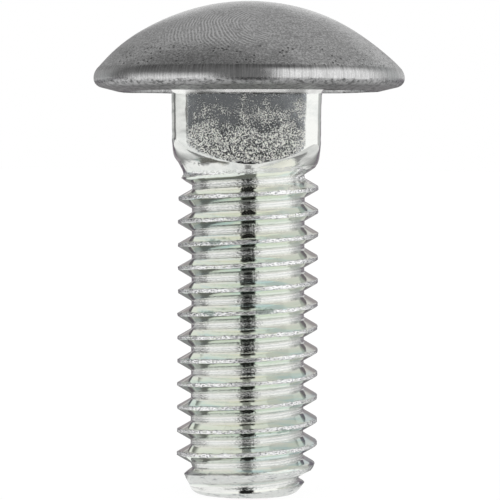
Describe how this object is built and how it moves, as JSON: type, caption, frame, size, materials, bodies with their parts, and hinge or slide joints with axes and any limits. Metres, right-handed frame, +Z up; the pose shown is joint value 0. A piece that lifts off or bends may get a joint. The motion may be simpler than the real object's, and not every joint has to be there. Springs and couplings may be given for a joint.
{
  "type": "round head square neck bolt",
  "caption": "Bolt with a low domed head under a crimped polished cap, a square neck that stops it turning, and a coarse threaded shank with a tapered point.",
  "frame": {"origin": "middle of the flat end face of the point, on the bolt's axis", "axes": "+Z up the bolt's axis from the point to the crown of the head; the flats of the square neck face +X, -X, +Y and -Y"},
  "size_m": [0.0242, 0.0242, 0.0385],
  "materials": {
    "zinc_plate": "bright zinc plating with a clear, faintly iridescent passivation over forged and rolled steel",
    "cap_steel": "stainless sheet, fine satin polish with circular marks"
  },
  "bodies": {
    "root": {"bolt": "zinc_plate", "head_cap": "cap_steel"}
  },
  "joints": []
}
